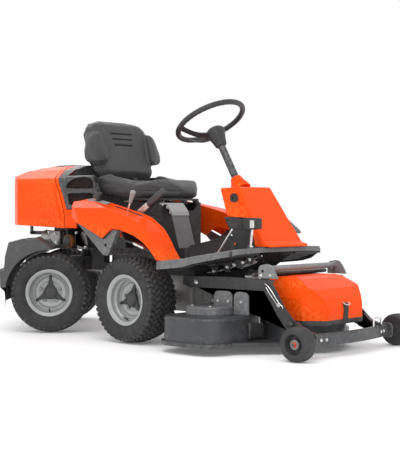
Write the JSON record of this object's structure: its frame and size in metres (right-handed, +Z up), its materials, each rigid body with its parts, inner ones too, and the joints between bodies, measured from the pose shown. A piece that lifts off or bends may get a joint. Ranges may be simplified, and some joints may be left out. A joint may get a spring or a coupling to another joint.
{
  "type": "articulated front-deck ride-on mower",
  "caption": "Ride-on mower with a front cutting deck, a steering wheel, a seat ahead of the rear engine and a steered rear axle carriage.",
  "frame": {"origin": "on the ground, straight below the centre of the front axle", "axes": "+Z up, -Y forward, +X to the machine's left"},
  "size_m": [1.1074, 2.3269, 1.137],
  "materials": {
    "frame_black": "satin black paint",
    "cast_grey": "cast aluminium",
    "engine_black": "black pressed steel",
    "muffler_steel": "heat-stained steel",
    "tank_black": "black moulded plastic",
    "floor_grey": "mid-grey moulded plastic",
    "orange_panel": "bright orange gloss plastic",
    "grey_plastic": "dark grey grained plastic",
    "grey_steel": "grey painted steel plate",
    "seat_base": "black painted pressing",
    "seat_vinyl": "dark grey grained vinyl",
    "black_plastic": "black moulded plastic",
    "bright_steel": "zinc-plated steel",
    "deck_grey": "dark grey powder coat",
    "support_tyre": "dark grey solid plastic wheel",
    "tyre_rubber": "black turf tyre",
    "rim_silver": "silver-grey painted pressed steel",
    "cap_black": "black moulded cap"
  },
  "bodies": {
    "chassis": {"main_frame": "frame_black", "kingpin": "frame_black", "front_axle": "frame_black", "engine_block": "cast_grey", "cooling_shroud": "engine_black", "muffler": "muffler_steel", "fuel_tank": "tank_black", "footplate": "floor_grey", "column_cover": "orange_panel", "steering_column": "frame_black", "tunnel_cover": "tank_black", "knee_covers": "grey_plastic", "right_fender": "orange_panel", "left_fender": "orange_panel", "side_plates": "grey_steel", "control_plate": "grey_plastic", "intake_panel": "grey_plastic", "hood_frame": "orange_panel", "seat_stand": "frame_black", "lever_pivots": "bright_steel"},
    "hood": {"hood_shell": "orange_panel"},
    "seat": {"seat_pan": "seat_base", "seat_cushion": "seat_vinyl", "seat_back": "seat_vinyl"},
    "steering": {"steering_wheel": "black_plastic", "steering_hub": "frame_black"},
    "carriage": {"carriage_frame": "frame_black", "rear_transaxle": "frame_black", "steering_sector": "grey_steel", "rear_guards": "grey_plastic"},
    "front_right_wheel": {"front_right_tyre": "tyre_rubber", "front_right_rim": "rim_silver", "front_right_hub_cap": "cap_black"},
    "front_left_wheel": {"front_left_tyre": "tyre_rubber", "front_left_rim": "rim_silver", "front_left_hub_cap": "cap_black"},
    "rear_right_wheel": {"rear_right_tyre": "tyre_rubber", "rear_right_rim": "rim_silver", "rear_right_hub_cap": "cap_black"},
    "rear_left_wheel": {"rear_left_tyre": "tyre_rubber", "rear_left_rim": "rim_silver", "rear_left_hub_cap": "cap_black"},
    "lift": {"lift_arms": "deck_grey", "carry_handle": "deck_grey", "front_beam": "deck_grey"},
    "bail": {"latch_bail": "bright_steel"},
    "deck": {"deck_shell": "deck_grey", "belt_cover": "deck_grey", "deck_cover": "orange_panel"},
    "right_cutter": {"right_blade": "bright_steel"},
    "centre_cutter": {"centre_blade": "bright_steel"},
    "left_cutter": {"left_blade": "bright_steel"},
    "right_support": {"right_deck_wheel": "support_tyre"},
    "left_support": {"left_deck_wheel": "support_tyre"},
    "lift_lever_body": {"lift_lever": "bright_steel"},
    "height_lever_body": {"height_lever": "black_plastic"},
    "throttle_lever_body": {"throttle_lever": "black_plastic"},
    "reverse_pedal_body": {"reverse_pedal": "black_plastic"},
    "drive_pedal_body": {"drive_pedal": "black_plastic"},
    "brake_pedal_body": {"brake_pedal": "black_plastic"}
  },
  "joints": [
    {"name": "hood_hinge", "type": "hinge", "parent": "chassis", "child": "hood", "pos_m": [0, 1.075, 0.492], "axis": [-1, 0, 0], "range_deg": [0, 70]},
    {"name": "seat_tilt", "type": "hinge", "parent": "chassis", "child": "seat", "pos_m": [0, -0.02, 0.652], "axis": [1, 0, 0], "range_deg": [0, 40]},
    {"name": "rear_steer", "type": "hinge", "parent": "chassis", "child": "carriage", "pos_m": [0, 0.735, 0.33], "axis": [0, 0, 1], "range_deg": [-85.9, 2.1]},
    {"name": "steering_turn", "type": "hinge", "parent": "chassis", "child": "steering", "pos_m": [0, -0.148, 1.04], "axis": [0, 0.5, 0.866], "range_deg": [-14, 559]},
    {"name": "front_right_spin", "type": "hinge", "parent": "chassis", "child": "front_right_wheel", "pos_m": [-0.36, 0, 0.201], "axis": [1, 0, 0], "continuous": true},
    {"name": "front_left_spin", "type": "hinge", "parent": "chassis", "child": "front_left_wheel", "pos_m": [0.36, 0, 0.201], "axis": [1, 0, 0], "continuous": true},
    {"name": "rear_right_spin", "type": "hinge", "parent": "carriage", "child": "rear_right_wheel", "pos_m": [-0.33397, 0.63554, 0.201], "axis": [0.7443, 0.6678, 0], "continuous": true},
    {"name": "rear_left_spin", "type": "hinge", "parent": "carriage", "child": "rear_left_wheel", "pos_m": [0.13495, 1.05627, 0.201], "axis": [0.7443, 0.6678, 0], "continuous": true},
    {"name": "deck_lift", "type": "hinge", "parent": "chassis", "child": "lift", "pos_m": [0, -0.24, 0.29], "axis": [-1, 0, 0], "range_deg": [0, 8]},
    {"name": "lift_lever_pull", "type": "hinge", "parent": "chassis", "child": "lift_lever_body", "pos_m": [-0.28, 0.096, 0.576], "axis": [-1, 0, 0], "range_deg": [0, 48]},
    {"name": "bail_fold", "type": "hinge", "parent": "lift", "child": "bail", "pos_m": [0.175, -0.975, 0.111], "axis": [1, 0, 0], "range_deg": [0, 60]},
    {"name": "deck_height", "type": "slide", "parent": "lift", "child": "deck", "axis": [0, 0, 1], "range_m": [0, 0.045]},
    {"name": "height_lever_pull", "type": "hinge", "parent": "chassis", "child": "height_lever_body", "pos_m": [-0.33, 0.106, 0.545], "axis": [-1, 0, 0], "range_deg": [0, 26]},
    {"name": "centre_cutter_spin", "type": "hinge", "parent": "deck", "child": "centre_cutter", "pos_m": [0, -0.7, 0.11], "axis": [0, 0, 1], "continuous": true},
    {"name": "right_cutter_spin", "type": "hinge", "parent": "deck", "child": "right_cutter", "pos_m": [-0.33, -0.45, 0.11], "axis": [0, 0, 1], "continuous": true},
    {"name": "left_cutter_spin", "type": "hinge", "parent": "deck", "child": "left_cutter", "pos_m": [0.33, -0.45, 0.11], "axis": [0, 0, 1], "continuous": true},
    {"name": "right_support_spin", "type": "hinge", "parent": "lift", "child": "right_support", "pos_m": [-0.375, -0.953, 0.072], "axis": [1, 0, 0], "continuous": true},
    {"name": "left_support_spin", "type": "hinge", "parent": "lift", "child": "left_support", "pos_m": [0.375, -0.953, 0.072], "axis": [1, 0, 0], "continuous": true},
    {"name": "throttle_set", "type": "hinge", "parent": "chassis", "child": "throttle_lever_body", "pos_m": [-0.33, 0.285, 0.671], "axis": [1, 0, 0], "range_deg": [-20, 20]},
    {"name": "reverse_press", "type": "hinge", "parent": "chassis", "child": "reverse_pedal_body", "pos_m": [-0.262, -0.424, 0.421], "axis": [1, 0, 0], "range_deg": [0, 15], "stiffness_Nm_per_rad": 15, "springref_deg": -5.73},
    {"name": "drive_press", "type": "hinge", "parent": "chassis", "child": "drive_pedal_body", "pos_m": [-0.205, -0.566, 0.452], "axis": [1, 0, 0], "range_deg": [0, 12], "stiffness_Nm_per_rad": 15, "springref_deg": -5.73},
    {"name": "brake_press", "type": "hinge", "parent": "chassis", "child": "brake_pedal_body", "pos_m": [0.225, -0.44, 0.424], "axis": [1, 0, 0], "range_deg": [0, 15], "stiffness_Nm_per_rad": 15, "springref_deg": -5.73}
  ],
  "couplings": [
    {"joint": "steering_turn", "follows": "rear_steer", "ratio": -6.5},
    {"joint": "lift_lever_pull", "follows": "deck_lift", "ratio": 6},
    {"joint": "height_lever_pull", "follows": "deck_height", "rad_per_m": 10.084},
    {"joint": "right_cutter_spin", "follows": "centre_cutter_spin", "ratio": 1},
    {"joint": "left_cutter_spin", "follows": "centre_cutter_spin", "ratio": 1}
  ]
}
